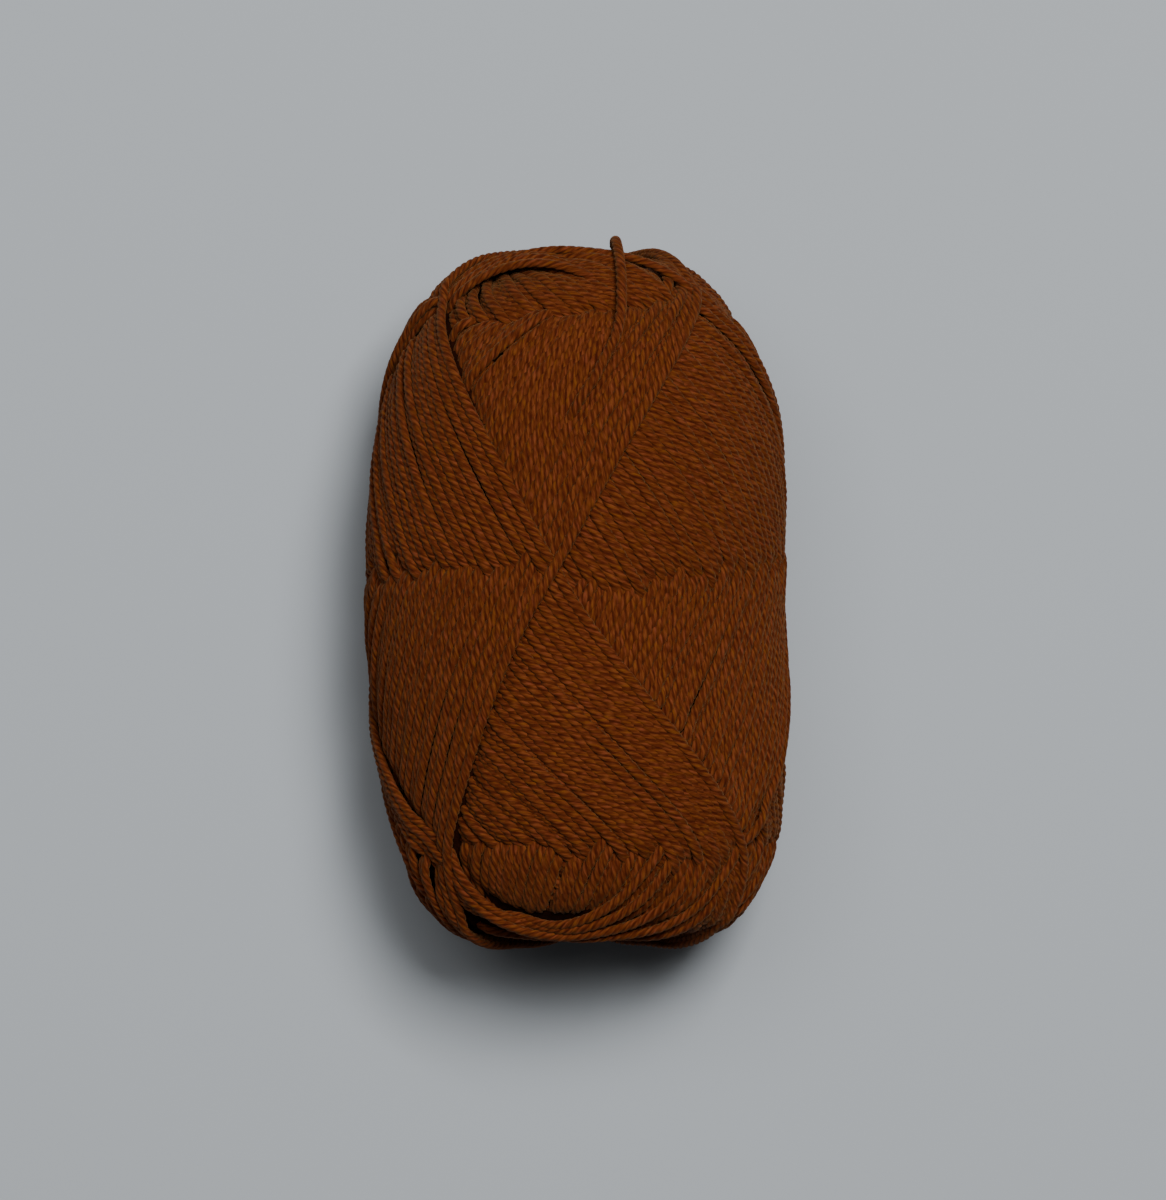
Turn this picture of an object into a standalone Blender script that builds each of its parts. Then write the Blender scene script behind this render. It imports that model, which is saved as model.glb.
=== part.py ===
"""An oval machine-wound ball of yarn, lying on its side, with its loose end tucked over one end.

The ball's axis runs along Y and it rests on the plane Z = 0. Every pass of the yarn crosses the middle
on a slant, rounds one end as a chord and comes back crossing the other way. The passes advance so that
the newest ones stand as three raised lines in each direction, which cross near the middle of the ball.
Sizes are in millimetres and angles in degrees until the points are written in metres.
"""

import bmesh
import bpy
import numpy as np

MM = 0.001

# The wound ball
HALF_WIDTH = 34.1
HALF_HEIGHT = 31.0
HALF_LENGTH = 57.4
BARREL_POWER = 3.1
END_POWER = {"upper": 2.5, "lower": 4.3}
SWAY = {"upper": 1.1, "lower": 3.1}
TWIST = {"upper": -2.5, "lower": 6.0}
SWAY_LENGTH = 45.0
FLAT_DEPTH = 1.2
DIMPLE_RADIUS = 12.0
DIMPLE_DEPTH = 7.0

# The winding
FRONTS = 3
FRONT_GAP = 360 / FRONTS
RISING_FRONT = -8.5
FALLING_FRONT = 1.5
TURN_LEAD = {
    "upper": FRONT_GAP + (FALLING_FRONT - RISING_FRONT) / 2,
    "lower": FRONT_GAP - (FALLING_FRONT - RISING_FRONT) / 2,
}
LAYER_HEIGHT = 1.1
BARREL_WIND_LENGTH = {"upper": 51.0, "lower": 42.0}
MIDDLE_SLANT = {"upper": 0.84, "lower": 0.95}
CORNER_SOFTNESS = 3.0
END_FADE = 0.5
FADE_START = 60.0

# The mesh of the ball: rings lie one azimuth step of winding apart
AROUND = 72
STEP = 360 / AROUND
WOUND_RINGS = {end: round(turned / STEP) for end, turned in TURN_LEAD.items()}
DIMPLE_RINGS = 5
PROFILE_SAMPLES = 2000

# The loose end, over the upper end of the ball and into its dimple
YARN_DIAMETER = 1.6
LOOSE_END_ROUTE = (
    (2.5, 34.9, 59.5),
    (4.3, 38.5, 58.3),
    (5.9, 41.7, 56.9),
    (6.75, 45.4, 55.0),
    (6.9, 49.1, 52.6),
    (6.8, 52.5, 49.6),
    (6.5, 55.3, 45.9),
    (6.1, 57.4, 42.0),
    (5.9, 57.7, 38.6),
    (5.9, 57.0, 35.8),
)
ROUTE_STEPS = 5

YARN_COLOUR = (0.19, 0.06, 0.012, 1.0)
YARN_ROUGHNESS = 0.9


def clear_scene():
    for old in list(bpy.data.objects):
        bpy.data.objects.remove(old, do_unlink=True)


def yarn_material(name):
    material = bpy.data.materials.new(name)
    material.use_nodes = True
    shader = material.node_tree.nodes["Principled BSDF"]
    shader.inputs["Base Color"].default_value = YARN_COLOUR
    shader.inputs["Roughness"].default_value = YARN_ROUGHNESS
    shader.inputs["Metallic"].default_value = 0.0
    return material


def soft_step(value):
    value = np.clip(value, 0, 1)
    return value * value * (3 - 2 * value)


def half_profile(end_power):
    """The outline from the middle to the dimple's rim: distance along, axial place and radius."""
    rim_turn = np.arccos((DIMPLE_RADIUS / HALF_WIDTH) ** (end_power / 2))
    turn = np.linspace(0, 1, PROFILE_SAMPLES) ** 2 * rim_turn
    axial = HALF_LENGTH * np.sin(turn) ** (2 / BARREL_POWER)
    radius = HALF_WIDTH * np.cos(turn) ** (2 / end_power)
    along = np.concatenate(([0.0], np.cumsum(np.hypot(np.diff(axial), np.diff(radius)))))
    return along, axial, radius


def lead(along, radius, end):
    """How far a pass has turned about the axis since the middle: a slant on the barrel, a chord at the end."""
    chord = np.degrees(np.arccos(np.clip(DIMPLE_RADIUS / radius, 0, 1)))
    whole = TURN_LEAD[end] - chord[0]
    part = along / BARREL_WIND_LENGTH[end]
    left = whole * (1 - MIDDLE_SLANT[end] * part - (1 - MIDDLE_SLANT[end]) * part**4)
    left = CORNER_SOFTNESS * np.log1p(np.exp(left / CORNER_SOFTNESS))
    return TURN_LEAD[end] - chord - left


def ring_table(end):
    """For each ring from the middle to the pole: lead, axial place, radius and the outward normal."""
    along, axial, radius = half_profile(END_POWER[end])
    leads = lead(along, radius, end)
    ring_leads = STEP * np.arange(WOUND_RINGS[end] + 1)
    place = np.interp(ring_leads, leads, along)
    ring_axial = np.interp(place, along, axial)
    ring_radius = np.interp(place, along, radius)
    out_radial = np.interp(place, along, np.gradient(axial, along))
    out_axial = -np.interp(place, along, np.gradient(radius, along))
    inward = np.arange(1, DIMPLE_RINGS + 1) / DIMPLE_RINGS
    dimple_axial = ring_axial[-1] - DIMPLE_DEPTH * np.sin(inward * np.pi / 2) ** 2
    fade = np.concatenate((np.ones(WOUND_RINGS[end] + 1), 1 - inward))
    return {
        "lead": np.concatenate((ring_leads, np.full(DIMPLE_RINGS, TURN_LEAD[end]))),
        "axial": np.concatenate((ring_axial, dimple_axial)),
        "radius": np.concatenate((ring_radius, DIMPLE_RADIUS * (1 - inward))),
        "out_radial": np.concatenate((out_radial, np.zeros(DIMPLE_RINGS))) * fade,
        "out_axial": np.concatenate((out_axial, np.ones(DIMPLE_RINGS))) * fade,
    }


def ages(azimuth, ring_lead):
    """Degrees of winding since the last rising and the last falling pass over a place."""
    rising = np.round(RISING_FRONT - azimuth + ring_lead, 6) % FRONT_GAP
    falling = np.round(FALLING_FRONT - azimuth - ring_lead, 6) % FRONT_GAP
    return rising, falling


def ball_point(azimuth, ring, tables):
    """A point of the ball, raised by the two sawtooth steps of the newest passes, which soften at the ends."""
    side, end = (1, "upper") if ring >= 0 else (-1, "lower")
    table, index = tables[end], abs(ring)
    rising, falling = ages(azimuth, side * table["lead"][index])
    fade = END_FADE * soft_step((table["lead"][index] - FADE_START) / (TURN_LEAD[end] - FADE_START))
    raised = LAYER_HEIGHT * (1 - fade) * (1 - (rising + falling) / FRONT_GAP)
    radius = table["radius"][index] + raised * table["out_radial"][index]
    axial = side * (table["axial"][index] + raised * table["out_axial"][index])
    twist = TWIST[end] * soft_step(abs(axial) / SWAY_LENGTH)
    turn = np.radians(azimuth + twist)
    height = radius * np.cos(turn) * HALF_HEIGHT / HALF_WIDTH
    across = radius * np.sin(turn) + SWAY[end] * soft_step(abs(axial) / SWAY_LENGTH)
    return across, axial, max(height, FLAT_DEPTH - HALF_HEIGHT)


def split_along_yarn(mesh, places):
    """Cut each four-sided face along the family of passes that lies on top of it."""
    for face in [f for f in mesh.faces if len(f.verts) == 4]:
        corners = sorted(face.verts, key=lambda v: places[v][1])
        low = sorted(corners[:2], key=lambda v: places[v][0])
        high = sorted(corners[2:], key=lambda v: places[v][0])
        if places[low[1]][0] - places[low[0]][0] > AROUND / 2:
            low.reverse()
            high.reverse()
        column, ring = places[low[0]]
        middle_azimuth = RISING_FRONT + (column + 0.5) * STEP
        side, end = (1, "upper") if ring >= 0 else (-1, "lower")
        middle_lead = side * min(abs(ring + 0.5), WOUND_RINGS[end]) * STEP
        rising, falling = ages(middle_azimuth, middle_lead)
        ends = (low[0], high[1]) if rising <= falling else (low[1], high[0])
        bmesh.utils.face_split(face, *ends)


def wound_ball(parts):
    """A sphere's rings moved to the ball's outline, then its faces cut along the yarn."""
    tables = {end: ring_table(end) for end in ("upper", "lower")}
    rows = WOUND_RINGS["upper"] + WOUND_RINGS["lower"] + 2 * DIMPLE_RINGS
    mesh = bmesh.new()
    bmesh.ops.create_uvsphere(mesh, u_segments=AROUND, v_segments=rows, radius=1.0)
    places = {}
    points = []
    for vertex in mesh.verts:
        x, y, z = vertex.co
        row = round((np.degrees(np.arcsin(np.clip(z, -1, 1))) / 180 + 0.5) * rows)
        ring = row - WOUND_RINGS["lower"] - DIMPLE_RINGS
        column = round(np.degrees(np.arctan2(x, y)) / STEP) % AROUND
        places[vertex] = (column, ring)
        points.append(ball_point(RISING_FRONT + column * STEP, ring, tables))
    points = np.array(points)
    middle = (points.min(axis=0) + points.max(axis=0)) / 2
    middle[2] = points[:, 2].min()
    for vertex, point in zip(mesh.verts, points - middle):
        vertex.co = point * MM
    split_along_yarn(mesh, places)
    bmesh.ops.recalc_face_normals(mesh, faces=mesh.faces)
    data = bpy.data.meshes.new("wound_ball")
    mesh.to_mesh(data)
    mesh.free()
    data.shade_smooth()
    data.materials.append(yarn_material("wound yarn"))
    ball = bpy.data.objects.new("wound_ball", data)
    parts.objects.link(ball)


def smooth_route(route):
    """Points on a smooth curve through the route's own points."""
    given = np.array(route)
    ends = np.vstack((2 * given[0] - given[1], given, 2 * given[-1] - given[-2]))
    points = []
    for before, start, end, after in zip(ends, ends[1:], ends[2:], ends[3:]):
        for part in np.arange(ROUTE_STEPS) / ROUTE_STEPS:
            bend = 2 * start + (end - before) * part
            bend = bend + (2 * before - 5 * start + 4 * end - after) * part**2
            bend = bend + (3 * start - before - 3 * end + after) * part**3
            points.append(bend / 2)
    points.append(given[-1])
    return np.array(points)


def loose_end(parts):
    """One strand of the yarn, lying over the upper end of the ball."""
    curve = bpy.data.curves.new("loose_end", "CURVE")
    curve.dimensions = "3D"
    curve.bevel_depth = YARN_DIAMETER / 2 * MM
    curve.bevel_resolution = 2
    curve.use_fill_caps = True
    points = smooth_route(LOOSE_END_ROUTE) * MM
    spline = curve.splines.new("POLY")
    spline.points.add(len(points) - 1)
    for spot, point in zip(spline.points, points):
        spot.co = (*point, 1.0)
    curve.materials.append(yarn_material("loose yarn"))
    strand = bpy.data.objects.new("loose_end", curve)
    parts.objects.link(strand)


clear_scene()
parts = bpy.data.collections.new("yarn_ball")
bpy.context.scene.collection.children.link(parts)
wound_ball(parts)
loose_end(parts)
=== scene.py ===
import bpy
import bmesh
import math
import numpy as np
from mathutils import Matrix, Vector


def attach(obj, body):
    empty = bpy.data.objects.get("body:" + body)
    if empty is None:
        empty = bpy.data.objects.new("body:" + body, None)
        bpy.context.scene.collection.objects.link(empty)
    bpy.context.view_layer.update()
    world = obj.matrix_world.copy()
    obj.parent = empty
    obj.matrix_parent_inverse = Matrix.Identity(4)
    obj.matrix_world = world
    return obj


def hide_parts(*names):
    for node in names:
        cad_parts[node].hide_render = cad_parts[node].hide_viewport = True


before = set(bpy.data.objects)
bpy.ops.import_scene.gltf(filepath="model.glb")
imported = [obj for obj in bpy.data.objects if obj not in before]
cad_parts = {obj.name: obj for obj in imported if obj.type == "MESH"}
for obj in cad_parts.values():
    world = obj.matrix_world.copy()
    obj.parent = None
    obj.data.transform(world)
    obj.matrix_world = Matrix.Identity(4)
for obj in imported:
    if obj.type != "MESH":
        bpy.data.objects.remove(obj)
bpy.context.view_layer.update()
print("frame loaded")

mm = 0.001

# The ball's outline, as in the part's source. Lengths in metres, angles in degrees; 1 is the upper end.
ball = {
    "halfWidth": 34.1 * mm,
    "halfHeight": 31.0 * mm,
    "halfLength": 57.4 * mm,
    "barrelPower": 3.1,
    "endPower": {1: 2.5, -1: 4.3},
    "sway": {1: 1.1 * mm, -1: 3.1 * mm},    # how far the ends lean to +x
    "twist": {1: -2.5, -1: 6.0},        # degrees that the winding drifts towards each end
    "swayLength": 45.0 * mm,
    "flatDepth": 1.2 * mm,              # how much the table flattens it
    "holeRadius": 12.0 * mm,            # the yarn turns back round a circle of this size
}

# The way it is wound: the newest passes stand as three fronts in each direction.
winding = {
    "fronts": 3,
    "risingFront": -8.5,
    "fallingFront": 1.5,
    "barrelWind": {1: 51.0 * mm, -1: 42.0 * mm},
    "middleSlant": {1: 0.84, -1: 0.95},
    "cornerSoftness": 3.0,
    "layer": 1.1 * mm,                  # one layer of yarn is this much higher than the last
    "endFade": 0.5,
    "fadeStart": 60.0,
    "crossingDrift": 0.045,             # the crossings have moved by this share of the winding's advance
    "driftFrom": 60.0,                  # degrees turned at which that sets in
    "passes": 120,                      # passes over each end in one round of the fronts
    "deeper": 60,                       # and older ones, which show only in the hollows
}
frontGap = 360 / winding["fronts"]
advance = frontGap / winding["passes"]
halfSpread = (winding["fallingFront"] - winding["risingFront"]) / 2
turnLead = {side: frontGap + side * halfSpread for side in (1, -1)}


def softStep(value):
    value = np.clip(value, 0, 1)
    return value * value * (3 - 2 * value)


# Degrees that a pass has turned since the middle: turnLead - arccos(hold / radius) - what is left of its
# slant. Round the end it is the straight chord that passes the axis at the distance hold.
def leadAt(side, along, radius, hold):
    chord = np.degrees(np.arccos(np.clip(hold / radius, 0, 1)))
    part = along / winding["barrelWind"][side]
    slant = winding["middleSlant"][side]
    soft = winding["cornerSoftness"]
    left = (turnLead[side] - chord[0]) * (1 - slant * part - (1 - slant) * part**4)
    return turnLead[side] - chord - soft * np.log1p(np.exp(left / soft))


# Outline from the middle to the hole's rim: |y/L|^p + (r/R)^q = 1, with the distance along it,
# the outward normal and the lead of the newest passes.
def halfOutline(side):
    endPower = ball["endPower"][side]
    rimTurn = np.arccos((ball["holeRadius"] / ball["halfWidth"]) ** (endPower / 2))
    turn = np.linspace(0, 1, 4000) ** 2 * rimTurn
    axial = ball["halfLength"] * np.sin(turn) ** (2 / ball["barrelPower"])
    radius = ball["halfWidth"] * np.cos(turn) ** (2 / endPower)
    along = np.concatenate(([0.0], np.cumsum(np.hypot(np.diff(axial), np.diff(radius)))))
    return {
        "along": along, "axial": axial, "radius": radius,
        "lead": leadAt(side, along, radius, ball["holeRadius"]),
        "outRadial": np.gradient(axial, along), "outAxial": -np.gradient(radius, along),
    }


outline = {side: halfOutline(side) for side in (1, -1)}


def read(side, name, along):
    return np.interp(along, outline[side]["along"], outline[side][name])


# A place on the ball: distance along the outline, azimuth in degrees and height above the outline.
# x = r sin, y = axial place, z = r cos squeezed to the ball's height and stopped by the table.
def ballPoint(side, along, azimuth, lift, keepOff=0.0):
    radius = read(side, "radius", along) + lift * read(side, "outRadial", along)
    axial = side * (read(side, "axial", along) + lift * read(side, "outAxial", along))
    share = softStep(np.abs(axial) / ball["swayLength"])
    turn = np.radians(azimuth + ball["twist"][side] * share)
    height = radius * np.cos(turn) * ball["halfHeight"] / ball["halfWidth"]
    height = np.maximum(height, ball["flatDepth"] - ball["halfHeight"] + keepOff)
    across = radius * np.sin(turn) + ball["sway"][side] * share
    return np.stack((across, axial, height), axis=-1)


# Height of the newest yarn above the outline, from the degrees of winding since the last rising pass
# and since the last falling one: layer * (1 - fade) * (1 - (rising + falling) / frontGap).
def crownLift(side, along, rising, falling):
    toTurn = (read(side, "lead", along) - winding["fadeStart"]) / (turnLead[side] - winding["fadeStart"])
    fade = winding["endFade"] * softStep(toTurn)
    return winding["layer"] * (1 - fade) * (1 - (rising + falling) / frontGap)


def agesAt(azimuth, lead):
    rising = (winding["risingFront"] - azimuth + lead) % frontGap
    falling = (winding["fallingFront"] - azimuth - lead) % frontGap
    return rising, falling / (1 + winding["crossingDrift"])


# The part's source centres the ball on its box, so the same shift is worked out here.
def ballMiddle():
    low, high = [], []
    for side in (1, -1):
        along, azimuth = np.meshgrid(
            np.linspace(0, outline[side]["along"][-1], 200), np.arange(0, 360, 1.0), indexing="ij")
        rising, falling = agesAt(azimuth, side * read(side, "lead", along))
        crown = ballPoint(side, along, azimuth, crownLift(side, along, rising, falling)).reshape(-1, 3)
        low.append(crown.min(axis=0))
        high.append(crown.max(axis=0))
    low, high = np.min(low, axis=0), np.max(high, axis=0)
    return np.array([(low[0] + high[0]) / 2, (low[1] + high[1]) / 2, ball["flatDepth"] - ball["halfHeight"]])


middle = ballMiddle()

# One length of plied yarn.
yarn = {
    "radius": 0.90 * mm,
    "pressed": (0.78, 1.08),            # the wound yarn is pressed to this share of it, and this much wider
    "plies": 4,
    "plyPitch": 6.2 * mm,               # one full turn of the twist, S way
    "grooveDepth": 0.24,                # of the radius
    "ringsToTurn": 113,                 # cross-sections from the middle to the turn at an end
    "ringGap": 0.8 * mm,                # which makes them this far apart
    "columns": 12,                      # points round a cross-section
    "wander": 0.14,                     # degrees that a pass strays to each side
    "wanderRings": 45,                  # and the rings from one stray to the next
    "bob": 0.04 * mm,                   # how far it bobs up and down
    "bobRings": 8,
    "bend": (1.5, 4.0),                 # rings over which it bends over others, on the barrel and at the ends
    "endFrom": 40.0,                    # degrees of lead at which the end sets in
    "endBefore": 5.0,                   # and before the turn at which it is reached
    "orderStray": 1.6,                  # degrees of winding by which the order of two crossing passes strays
    "layerDepth": 1.35 * mm,            # how much lower a pass lies for each newer one over it
    "layerDepthEnd": 1.12 * mm,         # and at the ends, where they press into each other
    "deepest": 4.0,                     # and not lower than for this many
    "loft": 0.25 * mm,                  # how far the soft surface stands off the solid
    "seenUnder": 0.75,                  # newer passes over a place that still let it show, on the barrel
    "seenUnderEnd": 3.4,                # and at the ends, where the passes part
    "cell": 0.3 * mm,                   # the grid in which newer passes are counted, along the outline
    "cellsRound": 720,                  # and round the axis
    "covers": 0.9,                      # share of its radius to each side that a pass covers
    "samplesAcross": 7,
    "margin": 3.2 * mm,                 # how far a pass is kept beyond the place where it shows
    "seed": 7,
}


# Distance from the axis at which the passes round each end. Those of the front that turns on the upper face
# (number 2 above, number 1 below) are given one by one, newest first, before and after their turn, because
# they lie loose over the others. The rest start at the hole's rim and have sagged outwards with age.
endHold = {
    1: {"loose": 1, "most": 16.5 * mm, "before": np.array([13.1, 14.2, 15.9, 17.8]) * mm,
        "after": np.array([13.1, 14.6, 17.0, 19.6]) * mm},
    -1: {"loose": 0, "most": 19.0 * mm, "before": np.array([20.4, 20.0, 19.6, 19.2]) * mm,
         "after": np.array([20.8, 24.2, 26.6, 28.0]) * mm},
    "age": 42.0,
    "changeOver": (0.34, 0.66),         # share of the pass over which before turns into after
    "stray": 0.3 * mm,
    "under": 24.0,                      # after their turn they lie under passes up to this much older
    "standUp": 0.4 * mm,                # how far the loose ones after the newest stand up
    "hollow": {1: 0.0, -1: 1.6 * mm},   # how far their own front sinks beneath them
    "hollowLeads": (52.0, 90.0),        # degrees of lead over which they sink
    "deeper": 13.5 * mm,                # the round before, seen in the hollows
    "deeperStray": 0.9 * mm,
    "deeperSink": 1.3 * mm,
}


def holdsOf(side, number, rng):
    age, turn = advance * number, number // winding["fronts"] - (side < 0)
    sag = endHold[side]["most"] - ball["holeRadius"]
    hold = ball["holeRadius"] + sag * (1 - np.exp(-age / endHold["age"]))
    stray = rng.normal(size=number.shape)
    hold = hold + endHold["stray"] * stray * (turn > 0)
    hold = np.where(number > winding["passes"], endHold["deeper"] + endHold["deeperStray"] * stray, hold)
    looseCount = len(endHold[side]["before"])
    loose = (number % winding["fronts"] == endHold[side]["loose"]) & (turn < looseCount)
    newest = np.clip(turn, 0, looseCount - 1)
    return [np.where(loose, endHold[side][part][newest], hold) for part in ("before", "after")]


# One pass from the middle over an end and back to the middle, as arrays evenly spaced along its length:
# distance along the outline and degrees turned so far.
def evenRoute(side, hold):
    line = outline[side]
    reach = np.interp(hold, line["radius"][::-1], line["along"][::-1])
    along = reach * (1 - (1 - np.linspace(0, 1, 1500)) ** 2)
    radius = read(side, "radius", along)
    lead = leadAt(side, along, radius, hold)
    lead = lead * turnLead[side] / lead[-1]
    step = np.hypot(np.diff(along), radius[1:] * np.radians(np.diff(lead)))
    length = np.concatenate(([0.0], np.cumsum(step)))
    even = np.linspace(0, length[-1], yarn["ringsToTurn"] + 1)
    goAlong = np.interp(even, length, along)
    goLead = np.interp(even, length, lead)
    along = np.concatenate((goAlong, goAlong[-2::-1]))
    turned = np.concatenate((goLead, 2 * turnLead[side] - goLead[-2::-1]))
    return np.array([along, turned])


def passRoute(side, before, after):
    start, stop = endHold["changeOver"]
    share = softStep((np.linspace(0, 1, 2 * yarn["ringsToTurn"] + 1) - start) / (stop - start))
    return evenRoute(side, before) * (1 - share) + evenRoute(side, after) * share


# Smooth random numbers along one axis, with a knot at each spacing.
def smoothNoise(rng, count, spacing):
    knots = rng.normal(size=int(count / spacing) + 3)
    place = np.arange(count) / spacing
    first = place.astype(int)
    part = softStep(place - first)
    return knots[first] * (1 - part) + knots[first + 1] * part


def smooth(values, sigma):
    reach = int(3 * sigma) + 1
    weight = np.exp(-0.5 * (np.arange(-reach, reach + 1) / sigma) ** 2)
    return np.convolve(np.pad(values, reach, mode="edge"), weight / weight.sum(), mode="valid")


# Open gaps between neighbouring passes, seen from above: from and to (mm from the ball's middle) and how
# many mm they open.
gapLines = [
    ((-23.7, 11.8), (-20.6, 6.6), 0.17),
    ((-22.8, 13.6), (-19.6, 8.0), 0.13),
    ((-21.7, 28.2), (-19.8, 25.4), 0.15),
    ((-17.8, 22.0), (-15.2, 17.6), 0.12),
    ((-8.2, 12.9), (-5.4, 8.0), 0.2),
    ((8.9, 23.8), (17.6, 9.8), 0.6),
    ((32.3, 3.0), (26.1, -18.9), 0.5),
    ((6.9, -23.5), (14.4, -36.2), 0.9),
    ((-0.2, -32.3), (5.4, -39.3), 0.7),
    ((-2.5, -32.8), (0.2, -38.5), 0.4),
]
rootGap = ((-1.0, 27.5), (2.4, 34.7), 0.15)    # where the loose strand comes up between two passes
gapShape = {
    "soft": 3.0 * mm,                   # length over which a gap opens and closes
    "reach": 9.0,                       # degrees away at which the neighbours give way a third as much
}
rootLine = {}


# Where a place on the upper face, seen from above, lies on the ball: distance along and azimuth.
def placeSeenAt(x, y):
    x, y = x * mm + middle[0], y * mm + middle[1]
    side = 1 if y >= 0 else -1
    share = softStep(abs(y) / ball["swayLength"])
    along = float(np.interp(abs(y), outline[side]["axial"], outline[side]["along"]))
    x = x - ball["sway"][side] * share
    turn = math.degrees(math.asin(max(-1.0, min(1.0, x / float(read(side, "radius", along))))))
    return side, along, turn - ball["twist"][side] * float(share)


# Passes on the two sides of a gap move apart, and their neighbours less and less.
def openGap(side, gap, along, azimuth, rising):
    (x1, y1), (x2, y2), width = gap
    slopesUp = (x2 - x1) * (y2 - y1) > 0
    gapSide, middleAlong, middleAzimuth = placeSeenAt((x1 + x2) / 2, (y1 + y2) / 2)
    if gapSide != side:
        return azimuth
    family = rising if slopesUp else ~rising
    ends = sorted(placeSeenAt(x, y)[1] for x, y in ((x1, y1), (x2, y2)))
    columns = np.flatnonzero(family[0])
    column = columns[np.argmin(np.abs(along[winding["passes"] // 2, columns] - middleAlong))]
    away = (azimuth[:, column] - middleAzimuth + 180) % 360 - 180
    before, after = np.argmax(np.where(away < 0, away, -999)), np.argmin(np.where(away >= 0, away, 999))
    line = azimuth[before] + ((azimuth[after] - azimuth[before] + 180) % 360 - 180) / 2
    if gap is rootGap:
        rootLine.update(along=along[before, columns], azimuth=line[columns])
    away = (azimuth - line + 180) % 360 - 180
    soft = gapShape["soft"]
    window = softStep((along - ends[0] + soft) / soft) * softStep((ends[1] + soft - along) / soft)
    widest = np.degrees(width * mm / ball["halfWidth"]) / 2
    return azimuth + widest * np.sign(away) * np.exp(-np.abs(away) / gapShape["reach"]) * window * family


# The newest passes of a front stand further apart than the rest, so that gaps show between them.
fans = [
    {"side": 1, "rising": True, "front": 0, "ages": 12.0, "spread": 0.2, "leads": (20, 66)},
    {"side": 1, "rising": False, "front": 2, "ages": 8.0, "spread": 0.03, "leads": (44, 68)},
]
fanSoft = 8.0    # degrees of lead over which a fan opens and closes


def fanOut(side, age, lead, azimuth, rising, front):
    for fan in fans:
        if fan["side"] != side:
            continue
        shift = fan["spread"] * np.minimum(age, fan["ages"])
        shift = shift * np.exp(-np.maximum(age - fan["ages"], 0) / fan["ages"])
        start, stop = fan["leads"]
        window = softStep((lead - start) / fanSoft) * softStep((stop - lead) / fanSoft)
        azimuth = azimuth - shift * window * (rising == fan["rising"]) * (front == fan["front"])
    return azimuth


# How many newer passes lie over each place of each pass. The surface is cut into cells; the passes come
# newest first, and each one reads the cells that it lies under before it marks the ones that it covers.
# It marks them at finer steps than it reads them, so that it leaves none out.
def newerAbove(side, along, azimuth, order):
    cell, cellsRound, finer, margin = yarn["cell"], yarn["cellsRound"], 4, 3
    rows = int(outline[side]["along"][-1] / cell) + 2 * margin + 2
    covered = np.zeros(rows * cellsRound, np.int16)
    offsets = np.linspace(-1, 1, yarn["samplesAcross"]) * yarn["covers"] * yarn["radius"]
    places = np.arange(along.shape[1])
    fine = np.linspace(0, places[-1], finer * places[-1] + 1)

    def cellsUnder(goAlong, goAzimuth):
        radius = read(side, "radius", goAlong)
        stepAlong, stepRound = np.gradient(goAlong), radius * np.radians(np.gradient(goAzimuth))
        size = np.maximum(np.hypot(stepAlong, stepRound), 1e-9)
        acrossAlong = goAlong[:, None] - offsets * (stepRound / size)[:, None]
        acrossAzimuth = goAzimuth[:, None] + np.degrees(offsets * (stepAlong / size / radius)[:, None])
        row = np.clip(np.round(acrossAlong / cell).astype(int) + margin, 0, rows - 1)
        return row * cellsRound + np.round(acrossAzimuth / 360 * cellsRound).astype(int) % cellsRound

    above = np.empty(along.shape)
    for number in order:
        above[number] = covered[cellsUnder(along[number], azimuth[number])].mean(axis=1)
        under = cellsUnder(np.interp(fine, places, along[number]), np.interp(fine, places, azimuth[number]))
        covered[np.unique(under)] += 1
    return above


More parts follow.
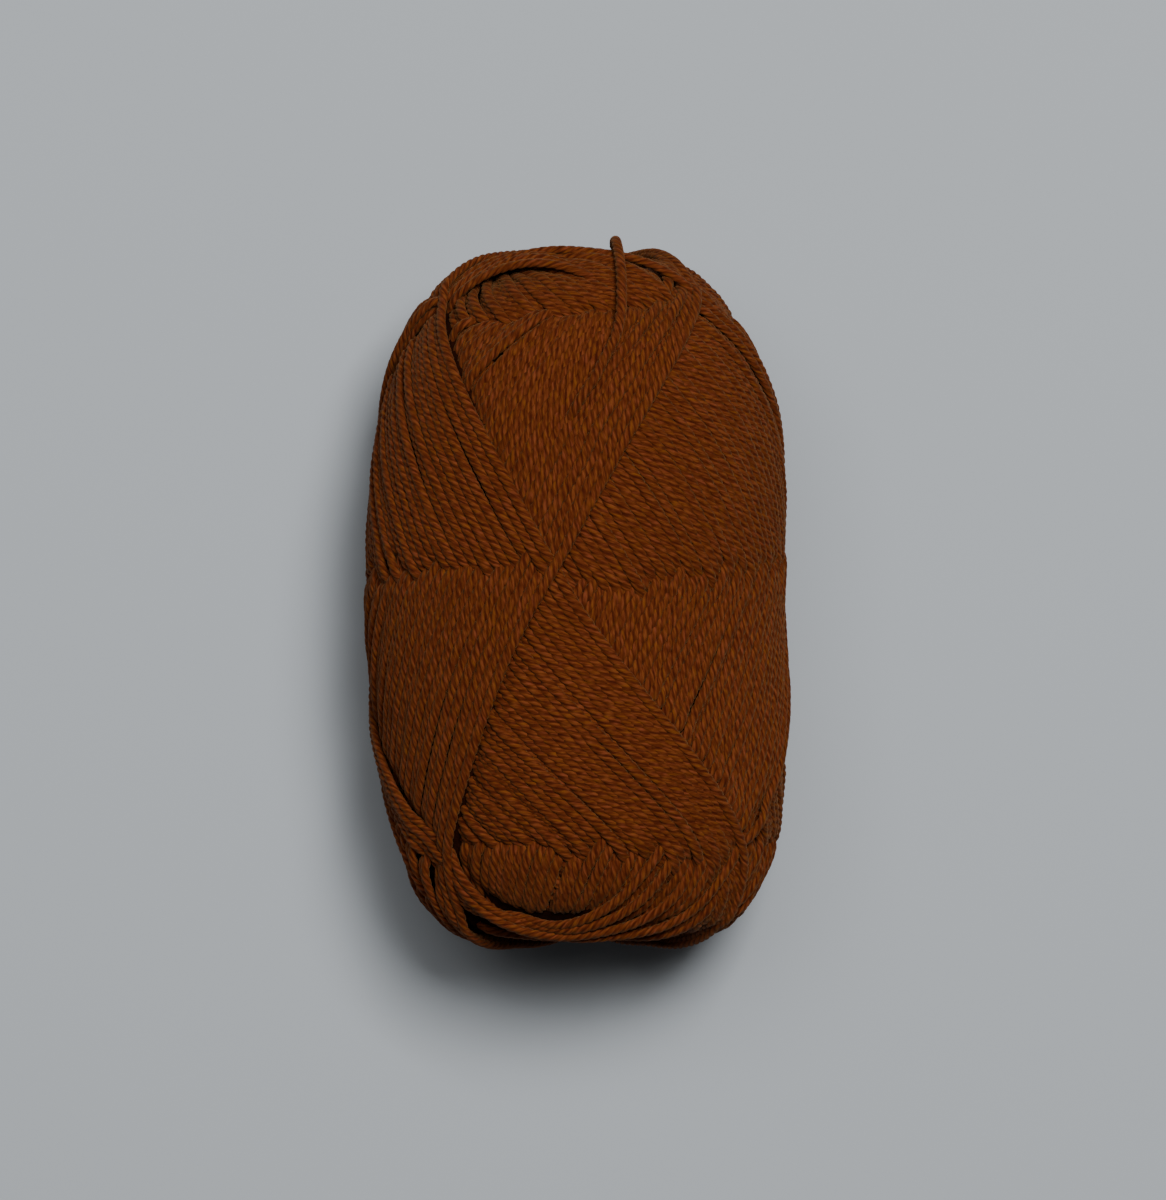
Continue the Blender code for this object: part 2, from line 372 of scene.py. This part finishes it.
# All passes over one end, row by pass, newest first, and column by place on it. The lower half of a loop
# takes up the advance, so that one length of yarn runs on from pass to pass.
def passesOver(side, rng):
    number = np.arange(0 if side > 0 else 1, winding["passes"] + winding["deeper"] + 1)[:, None]
    routes = np.array([passRoute(side, *holds) for holds in zip(*holdsOf(side, number[:, 0], rng))])
    along, turned = routes[:, 0], routes[:, 1]
    shape, driftFrom = along.shape, winding["driftFrom"]
    progress = np.linspace(0, 1, shape[1]) * (side < 0)
    age = advance * (number - progress)
    toFalling = softStep((turned - driftFrom) / (2 * turnLead[side] - 2 * driftFrom))
    if side < 0:
        toFalling = 1 - toFalling
    rising = (turned < turnLead[side]) == (side > 0)
    newest = winding["risingFront"] if side > 0 else winding["fallingFront"] - frontGap
    azimuth = newest + turned - age * (1 + winding["crossingDrift"] * toFalling) - frontGap * number
    lead = np.minimum(turned, 2 * turnLead[side] - turned)
    risingAge, fallingAge = agesAt(azimuth, side * lead)
    crown = crownLift(side, along, age, np.where(rising, fallingAge, risingAge))
    atEnd = softStep((lead - yarn["endFrom"]) / (turnLead[side] - yarn["endFrom"] - yarn["endBefore"]))
    front, turn = number % winding["fronts"], number // winding["fronts"] - (side < 0)
    crown = crown - endHold["deeperSink"] * (number > winding["passes"]) * atEnd
    looseFront = front == endHold[side]["loose"]
    looseCount = len(endHold[side]["before"])
    start, stop = endHold["hollowLeads"]
    sunk = softStep((lead - start) / (stop - start)) * looseFront * (turn >= looseCount)
    stands = looseFront & (turn > 0) & (turn < looseCount)
    crown = crown - endHold["hollow"][side] * sunk + endHold["standUp"] * atEnd * stands
    for gap in gapLines + [rootGap]:
        azimuth = openGap(side, gap, along, azimuth, rising)
    azimuth = fanOut(side, age, lead, azimuth, rising, front)
    half = shape[1] // 2
    halves = [(along[:, :half + 1], azimuth[:, :half + 1]), (along[:, half:], azimuth[:, half:])]
    stray = yarn["orderStray"] * rng.normal(size=2 * len(number))
    under = endHold["under"] * stands[:, 0]
    order = np.argsort(np.tile(advance * number[:, 0], 2) + np.append(0 * under, under) + stray)
    first, second = np.split(newerAbove(side, *(np.concatenate(pair) for pair in zip(*halves)), order), 2)
    ones = np.ones(shape)
    return {
        "side": side * ones, "along": along, "azimuth": azimuth, "crown": crown, "atEnd": atEnd,
        "above": np.concatenate((first[:, :-1], second), axis=1), "front": front * ones,
    }


# The whole yarn as one length, oldest first: each upper half-loop is followed by a lower one.
def wholeYarn(rng):
    halves = {side: passesOver(side, rng) for side in (1, -1)}
    whole = {}
    for name in halves[1]:
        upper, lower = halves[1][name][::-1], halves[-1][name][::-1]
        loops = np.concatenate((upper[:-1, :-1], lower[:, :-1]), axis=1).ravel()
        whole[name] = np.concatenate((loops, upper[-1]))
    return whole


def unit(vectors):
    return vectors / np.maximum(np.linalg.norm(vectors, axis=-1, keepdims=True), 1e-12)


# Centre line, outward direction and what shows of the whole yarn.
def layYarn(rng):
    whole = wholeYarn(rng)
    count = len(whole["along"])
    atEnd = whole["atEnd"]
    deep = yarn["layerDepth"] + (yarn["layerDepthEnd"] - yarn["layerDepth"]) * atEnd
    lift = whole["crown"] + yarn["loft"] - yarn["pressed"][0] * yarn["radius"]
    lift = lift - deep * np.minimum(whole["above"], yarn["deepest"])
    barrelBend, endBend = yarn["bend"]
    lift = smooth(lift, barrelBend) * (1 - atEnd) + smooth(lift, endBend) * atEnd
    lift = lift + yarn["bob"] * smoothNoise(rng, count, yarn["bobRings"])
    azimuth = whole["azimuth"] + yarn["wander"] * smoothNoise(rng, count, yarn["wanderRings"])
    centre, outward = np.empty((count, 3)), np.empty((count, 3))
    for side in (1, -1):
        here = whole["side"] == side
        place = (side, whole["along"][here], azimuth[here])
        centre[here] = ballPoint(*place, lift[here], yarn["radius"]) - middle
        outward[here] = ballPoint(*place, lift[here] + 0.5 * mm) - ballPoint(*place, lift[here] - 0.5 * mm)
    allowed = yarn["seenUnder"] + (yarn["seenUnderEnd"] - yarn["seenUnder"]) * atEnd
    shows = (whole["above"] < allowed).astype(float)
    margin = int(yarn["margin"] / yarn["ringGap"])
    seen = np.convolve(shows, np.ones(2 * margin + 1), mode="same") > 0.5
    whole.update(centre=centre, outward=outward, seen=seen)
    return whole


# A plied yarn round a centre line: columns of points follow the plies, so that point j of a ring at
# length l stands at angle 2 pi j / columns - 2 pi l / pitch, and its radius dips in the grooves.
def yarnMesh(name, centre, outward, seen, belongs=True, pressed=(1.0, 1.0)):
    columns = yarn["columns"]
    places = len(centre)
    tangent = unit(np.gradient(centre, axis=0))
    normal = unit(outward - np.sum(outward * tangent, axis=-1, keepdims=True) * tangent)
    sideways = np.cross(tangent, normal)
    step = np.linalg.norm(np.diff(centre, axis=0), axis=-1)
    length = np.concatenate(([0.0], np.cumsum(step)))
    column = np.arange(columns) / columns
    groove = np.abs(np.cos(math.pi * yarn["plies"] * column)) ** 3
    angle = -2 * math.pi * length[:, None] / yarn["plyPitch"] + 2 * math.pi * column
    reach = yarn["radius"] * (1 - yarn["grooveDepth"] * groove)
    ring = (centre[:, None] + (pressed[0] * reach * np.cos(angle))[..., None] * normal[:, None]
            + (pressed[1] * reach * np.sin(angle))[..., None] * sideways[:, None])
    index = np.arange(places * columns).reshape(places, columns)
    nextColumn = np.roll(np.arange(columns), -1)
    joined = seen[:-1] & seen[1:]
    here = joined & belongs
    near, far = index[:-1][here], index[1:][here]
    walls = np.stack((near, near[:, nextColumn], far[:, nextColumn], far), axis=-1).reshape(-1, 4)
    before, after = np.append(False, joined), np.append(joined, False)
    starts = index[after & ~before & np.append(here, False)]
    stops = index[before & ~after & np.append(False, here)]
    fan = [(0, k, k + 1, k + 2) for k in range(1, columns - 2, 2)]
    openCaps = [starts[:, [a, d, c, b]] for a, b, c, d in fan]
    closeCaps = [stops[:, [a, b, c, d]] for a, b, c, d in fan]
    faces = np.concatenate([walls] + openCaps + closeCaps)
    used, packed = np.unique(faces, return_inverse=True)
    around = np.tile(column, places)[faces]
    around = np.where((around == 0) & (around.max(axis=1, keepdims=True) > 0.5), 1.0, around)
    lengthOf = np.repeat(length, columns)[faces]
    uv = np.stack((lengthOf / yarn["plyPitch"], around), axis=-1)
    # the grooves are also kept as a value, by which the look paints shade into them
    values = {"groove": np.tile(groove, places)[used]}
    return makeMesh(name, ring.reshape(-1, 3)[used], packed.reshape(-1, 4), uv, values)


def makeMesh(name, points, faces, uv=None, values=None):
    mesh = bpy.data.meshes.new(name)
    mesh.vertices.add(len(points))
    mesh.vertices.foreach_set("co", points.astype(np.float32).ravel())
    mesh.loops.add(faces.size)
    mesh.polygons.add(len(faces))
    mesh.polygons.foreach_set("loop_start", np.arange(0, faces.size, faces.shape[1], dtype=np.int32))
    mesh.polygons.foreach_set("vertices", faces.astype(np.int32).ravel())
    mesh.update(calc_edges=True)
    mesh.validate()
    if uv is not None:
        layer = mesh.uv_layers.new(name="yarnMap")
        layer.uv.foreach_set("vector", uv.astype(np.float32).ravel())
    for label, numbers in (values or {}).items():
        attribute = mesh.attributes.new(label, "FLOAT", "POINT")
        attribute.data.foreach_set("value", numbers.astype(np.float32))
    mesh.shade_smooth()
    piece = bpy.data.objects.new(name, mesh)
    bpy.context.scene.collection.objects.link(piece)
    return piece


# Shader nodes written as expressions.
class Wire:
    def __init__(self, tree, socket):
        self.tree, self.socket = tree, socket

    def maths(self, operation, other, swapped=False):
        node = self.tree.nodes.new("ShaderNodeMath")
        node.operation = operation
        for slotIndex, value in enumerate((other, self) if swapped else (self, other)):
            if isinstance(value, Wire):
                self.tree.links.new(value.socket, node.inputs[slotIndex])
            else:
                node.inputs[slotIndex].default_value = value
        return Wire(self.tree, node.outputs[0])

    def __add__(self, other):
        return self.maths("ADD", other)

    def __sub__(self, other):
        return self.maths("SUBTRACT", other)

    def __rsub__(self, other):
        return self.maths("SUBTRACT", other, True)

    def __mul__(self, other):
        return self.maths("MULTIPLY", other)


class Shader:
    def __init__(self, name):
        self.material = bpy.data.materials.new(name)
        self.material.use_nodes = True
        self.tree = self.material.node_tree
        self.principled = self.tree.nodes["Principled BSDF"]

    # any node, from its type, its settings and the values or links of its sockets
    def node(self, kind, settings=None, sockets=None, output=0):
        made = self.tree.nodes.new(kind)
        for name, value in (settings or {}).items():
            setattr(made, name, value)
        for name, value in (sockets or {}).items():
            self.plug(made.inputs[name], value)
        return Wire(self.tree, made.outputs[output])

    def plug(self, socket, value):
        if isinstance(value, Wire):
            self.tree.links.new(value.socket, socket)
        else:
            socket.default_value = value

    def set(self, **sockets):
        for name, value in sockets.items():
            self.plug(self.principled.inputs[name.replace("_", " ")], value)

    def mix(self, factor, first, second):
        return self.node("ShaderNodeMix", {"data_type": "RGBA"},
                         {"Factor": factor, 6: first, 7: second}, output=2)


# Wool look: the plies' grooves and the dark dashes are darkened with painted shade, the fibre streaks and
# light dashes are lightened towards painted highlight colours (the fibres partly in the wool's own tone), and
# the dye varies a little.
yarnLook = {
    "colour": (0.088, 0.0163, 0.0023, 1),
    # painted shade: the colour that the grooves and dark dashes are darkened towards
    "grooveShadeColour": (0.036, 0.0042, 0.0006, 1),
    # painted highlights: the lighter colours, redder and more golden, that streaks and light dashes are drawn
    # towards
    "redHighlight": (0.161, 0.0368, 0.0140, 1),
    "oliveHighlight": (0.141, 0.0430, 0.0038, 1),
    "roughness": 0.86,
    "specular": 0.08,
    "sheen": 0.13,
    "sheenRoughness": 0.45,
    "sheenColour": (0.72, 0.42, 0.16, 1),
    "fibreStretch": (5.0, 26.0, 1.0),
    "dashStretch": (4.5, 11.0, 1.0),    # painted highlights and painted shade in dashes along the plies
    "tintStretch": (2.3, 6.0, 1.0),     # redder and more golden stretches
    "dyeScale": 260.0,
    "bump": 0.12 * mm,
}


# 2-D noise along the yarn, its map stretched so many times along and round it
def yarnNoise(shade, mapped, stretch, **sockets):
    place = shade.node("ShaderNodeVectorMath", {"operation": "MULTIPLY"}, {0: mapped, 1: stretch})
    sockets.update(Vector=place, Scale=1.0)
    return shade.node("ShaderNodeTexNoise", {"noise_dimensions": "2D"}, sockets)


def yarnMaterial(name):
    shade = Shader(name)
    mapped = shade.node("ShaderNodeUVMap", {"uv_map": "yarnMap"})
    fibres = yarnNoise(shade, mapped, yarnLook["fibreStretch"], Detail=2.0, Roughness=0.6)
    dashes = yarnNoise(shade, mapped, yarnLook["dashStretch"], Detail=1.0, Roughness=0.5)
    tints = yarnNoise(shade, mapped, yarnLook["tintStretch"])
    place = shade.node("ShaderNodeTexCoord", output=3)
    clouds = {"Vector": place, "Scale": yarnLook["dyeScale"], "Detail": 2.0}
    dye = shade.node("ShaderNodeTexNoise", {}, clouds)
    groove = shade.node("ShaderNodeAttribute", {"attribute_name": "groove"}, output=2)
    # fibre streaks and light dashes lightened towards painted highlight colours; the fibre streaks are partly
    # the wool's own tone
    streak = (fibres - 0.5) * 1.5 + (dashes - 0.5) * 1.9 + 0.43
    light = shade.mix((tints - 0.5) * 2.2 + 0.5, yarnLook["redHighlight"], yarnLook["oliveHighlight"])
    base = shade.mix(streak, yarnLook["colour"], light)
    base = shade.mix((dye - 0.35) * 0.5, base, yarnLook["colour"])
    # painted shade in the plies' grooves and on the dark dashes
    base = shade.mix(groove * 0.8 + (0.5 - dashes) * 1.2, base, yarnLook["grooveShadeColour"])
    bump = shade.node("ShaderNodeBump", {}, {"Strength": 0.5, "Distance": yarnLook["bump"], "Height": fibres})
    shade.set(Base_Color=base, Roughness=yarnLook["roughness"], Normal=bump)
    shade.principled.inputs["Specular IOR Level"].default_value = yarnLook["specular"]
    shade.principled.inputs["Sheen Weight"].default_value = yarnLook["sheen"]
    shade.principled.inputs["Sheen Roughness"].default_value = yarnLook["sheenRoughness"]
    shade.principled.inputs["Sheen Tint"].default_value = yarnLook["sheenColour"]
    return shade.material


woundMaterial = yarnMaterial("wound yarn look")


def dress(piece, material, *nodes):
    piece.data.materials.append(material)
    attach(piece, "root")
    if nodes:
        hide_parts(*nodes)


# The passes, one piece for each end and newest-pass front.
rng = np.random.default_rng(yarn["seed"])
laid = layYarn(rng)
sideNames = {1: "upper", -1: "lower"}
total = 0
for side in (1, -1):
    for front in range(winding["fronts"]):
        belongs = (laid["side"][:-1] == side) & (laid["front"][:-1] == front)
        name = f"passes_{sideNames[side]}_{front + 1}"
        piece = yarnMesh(name, laid["centre"], laid["outward"], laid["seen"], belongs, yarn["pressed"])
        dress(piece, woundMaterial, "wound_ball")
        triangles = sum(len(p.vertices) - 2 for p in piece.data.polygons)
        total += triangles
        print(piece.name, triangles, "triangles")
print("passes wound,", total, "triangles")


# The older yarn beneath, seen only through gaps and coloured in painted shade far darker than the yarn's own:
# the crown surface sunk by about two layers, closed at each end by a dimple that runs down to the axis.
core = {
    "sink": 2.1 * mm,
    "short": {1: 5.5 * mm, -1: 6.5 * mm},    # how far before the hole's rim its dimple starts
    "offTable": 0.6 * mm,                    # how far its underside stays above the ball's flat
    "around": 180,
    "rings": 70,
    "dimpleRings": 10,
    "dimpleDepth": 9.0 * mm,
    # painted shade: two dark colours that the older yarn is mottled between
    "shadedColours": ((0.008, 0.0018, 0.0004, 1), (0.022, 0.0045, 0.0008, 1)),
    "mottleScale": 900.0,
    "roughness": 0.95,
    "specular": 0.05,
}


def coreBody():
    rows = []
    azimuth = np.arange(core["around"]) * 360 / core["around"]
    for side in (-1, 1):
        reach = outline[side]["along"][-1] - core["short"][side]
        along = np.linspace(0, reach, core["rings"])[:, None] + np.zeros((1, core["around"]))
        turned = azimuth[None, :] + np.zeros_like(along)
        rising, falling = agesAt(turned, side * read(side, "lead", along))
        lift = crownLift(side, along, rising, falling) - core["sink"]
        wall = ballPoint(side, along, turned, lift, core["offTable"])
        inward = np.arange(1, core["dimpleRings"])[:, None, None] / core["dimpleRings"]
        rim = wall[-1][None]
        pit = rim * np.array([1, 0, 1]) * (1 - inward) + rim * np.array([0, 1, 0])
        pit[..., 1] = pit[..., 1] - side * core["dimpleDepth"] * np.sin(inward[..., 0] * math.pi / 2) ** 2
        half = np.concatenate((wall, pit))
        rows.append(half[::-1] if side < 0 else half[1:])
    points = np.concatenate(rows)
    count = len(points)
    index = np.arange(count * core["around"]).reshape(count, core["around"])
    nextOne = np.roll(index, -1, axis=1)
    faces = np.stack((index[:-1], nextOne[:-1], nextOne[1:], index[1:]), axis=-1).reshape(-1, 4)
    flat = points.reshape(-1, 3) - middle
    poles = np.array([flat[index[0]].mean(axis=0), flat[index[-1]].mean(axis=0)])
    piece = makeMesh("older_layers", np.concatenate((flat, poles)), faces)
    edit = piece.data
    mesh = bmesh.new()
    mesh.from_mesh(edit)
    mesh.verts.ensure_lookup_table()
    for pole, ring in ((len(flat), index[0]), (len(flat) + 1, index[-1])):
        for a, b in zip(ring, np.roll(ring, -1)):
            mesh.faces.new((mesh.verts[pole], mesh.verts[a], mesh.verts[b]))
    bmesh.ops.recalc_face_normals(mesh, faces=mesh.faces)
    mesh.to_mesh(edit)
    mesh.free()
    edit.shade_smooth()
    return piece


def coreMaterial():
    shade = Shader("older yarn in painted shade")
    place = shade.node("ShaderNodeTexCoord", output=3)
    clouds = {"Vector": place, "Scale": core["mottleScale"], "Detail": 3.0}
    mottle = shade.node("ShaderNodeTexNoise", {}, clouds)
    # painted shade, mottled between two dark colours
    colour = shade.mix(mottle, *core["shadedColours"])
    bump = shade.node("ShaderNodeBump", {}, {"Strength": 0.8, "Distance": 0.4 * mm, "Height": mottle})
    shade.set(Base_Color=colour, Roughness=core["roughness"], Normal=bump)
    shade.principled.inputs["Specular IOR Level"].default_value = core["specular"]
    return shade.material


dress(coreBody(), coreMaterial(), "wound_ball")
print("older layers made")

# The loose end, along the same route as in the part's source.
looseEnd = {
    "route": (
        (2.5, 34.9, 59.5),
        (4.3, 38.5, 58.3),
        (5.9, 41.7, 56.9),
        (6.75, 45.4, 55.0),
        (6.9, 49.1, 52.6),
        (6.8, 52.5, 49.6),
        (6.5, 55.3, 45.9),
        (6.1, 57.4, 42.0),
        (5.9, 57.7, 38.6),
        (5.9, 57.0, 35.8),
    ),
    "steps": 12,
    "rootBefore": 4.0 * mm,             # the root starts this far before its gap
    "rootFrom": -2.6 * mm,              # at this height over the crown, and rises to the next
    "rootTo": 1.2 * mm,
    "upright": 0.6,                     # its cross-sections turn this much from the ball's middle to its axis
}


def smoothRoute(route, steps):
    given = np.array(route) * mm
    ends = np.vstack((2 * given[0] - given[1], given, 2 * given[-1] - given[-2]))
    part = (np.arange(steps) / steps)[:, None]
    stretches = []
    for a, b, c, d in zip(ends, ends[1:], ends[2:], ends[3:]):
        stretches.append((2 * b + (c - a) * part + (2 * a - 5 * b + 4 * c - d) * part**2
                          + (3 * b - a - 3 * c + d) * part**3) / 2)
    points = np.vstack(stretches + [given[-1:]])
    length = np.concatenate(([0.0], np.cumsum(np.linalg.norm(np.diff(points, axis=0), axis=1))))
    even = np.linspace(0, length[-1], int(length[-1] / (0.5 * yarn["ringGap"])))
    return np.stack([np.interp(even, length, points[:, axis]) for axis in range(3)], axis=-1), length[-1]


# The root of the loose strand: it follows the gap between its neighbours, and rises out of it.
def rootPath(goal):
    stop = placeSeenAt(*looseEnd["route"][0][:2])[1]
    along = np.arange(rootLine["startAlong"], stop, 0.5 * yarn["ringGap"])
    azimuth = np.interp(along, rootLine["along"], rootLine["azimuth"])
    share = np.linspace(0, 1, len(along))
    rising, falling = agesAt(azimuth, read(1, "lead", along))
    lift = crownLift(1, along, rising, falling) + looseEnd["rootFrom"]
    lift = lift + (looseEnd["rootTo"] - looseEnd["rootFrom"]) * softStep(share)
    path = ballPoint(1, along, azimuth, lift) - middle
    return path + (goal - path[-1]) * softStep(share)[:, None]


endPath, endLength = smoothRoute(looseEnd["route"], looseEnd["steps"])
rootLine["startAlong"] = placeSeenAt(*rootGap[0])[1] - looseEnd["rootBefore"]
root = rootPath(endPath[0])[:-1]
strandPath = np.concatenate((root, endPath))
outwards = strandPath - np.array([0.0, 0.0, ball["halfHeight"]])
outwards = outwards - np.array([0.0, looseEnd["upright"], 0.0]) * strandPath
every = np.ones(len(strandPath), bool)
inRoot = np.arange(len(strandPath) - 1) < len(root)
dress(yarnMesh("loose_root", strandPath, outwards, every, inRoot), woundMaterial, "wound_ball")
looseStrand = yarnMesh("loose_strand", strandPath, outwards, every, ~inRoot)
looseStrand.data.materials.append(woundMaterial)
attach(looseStrand, "root")
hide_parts("loose_end")
print("loose end laid,", round(float(endLength) * 1000, 1), "mm")


# Plain pale floor, soft light from the upper right and a camera straight above.
studio = {
    "floorColour": (0.387, 0.418, 0.4445, 1),
    "floorHalf": 1.6,
    "pixelsPerMetre": 6150,
    "frameHeight": 1200,
    "frameMiddle": (583.0, 600.0),
    "ballMiddle": (578.5, 598.5),
    "cameraHeight": 1.3,
    "ballMidHeight": 0.031,
    "sensor": 36.0,
    "key": {"place": (0.30, 0.46, 1.5), "width": 0.42, "depth": 0.50, "watts": 23.0},
    "fill": {"place": (-0.05, 0.45, 1.5), "width": 1.40, "depth": 0.70, "watts": 11.5},
    "target": (0, 0, 0.02),
    "lightColour": (1.0, 0.985, 0.98),
    "worldColour": (0.95, 0.98, 1.0, 1),
    "worldStrength": 0.045,
}


def floorPiece():
    half = studio["floorHalf"]
    corners = np.array([[-half, -half, 0], [half, -half, 0], [half, half, 0], [-half, half, 0]])
    piece = makeMesh("floor", corners, np.array([[0, 1, 2, 3]]))
    shade = Shader("floor look")
    shade.set(Base_Color=studio["floorColour"], Roughness=0.9)
    shade.principled.inputs["Specular IOR Level"].default_value = 0.1
    piece.data.materials.append(shade.material)


def areaLight(name, place, width, depth, watts):
    light = bpy.data.lights.new(name, "AREA")
    light.shape = "RECTANGLE"
    light.size, light.size_y, light.energy, light.color = width, depth, watts, studio["lightColour"]
    lamp = bpy.data.objects.new(name, light)
    lamp.location = place
    direction = np.array(studio["target"]) - np.array(place)
    lamp.rotation_euler = Vector(direction).to_track_quat("-Z", "Y").to_euler()
    bpy.context.scene.collection.objects.link(lamp)


def setCamera():
    camera = bpy.data.cameras.new("camera")
    camera.sensor_width = studio["sensor"]
    distance = studio["cameraHeight"] - studio["ballMidHeight"]
    camera.lens = studio["sensor"] * distance * studio["pixelsPerMetre"] / studio["frameHeight"]
    viewer = bpy.data.objects.new("camera", camera)
    viewer.location = (
        (studio["frameMiddle"][0] - studio["ballMiddle"][0]) / studio["pixelsPerMetre"],
        (studio["ballMiddle"][1] - studio["frameMiddle"][1]) / studio["pixelsPerMetre"],
        studio["cameraHeight"],
    )
    bpy.context.scene.collection.objects.link(viewer)
    bpy.context.scene.camera = viewer


def setWorld():
    world = bpy.data.worlds.new("studio")
    world.use_nodes = True
    background = world.node_tree.nodes["Background"]
    background.inputs["Color"].default_value = studio["worldColour"]
    background.inputs["Strength"].default_value = studio["worldStrength"]
    bpy.context.scene.world = world


floorPiece()
setWorld()
areaLight("key", **studio["key"])
areaLight("fill", **studio["fill"])
setCamera()
print("studio set")
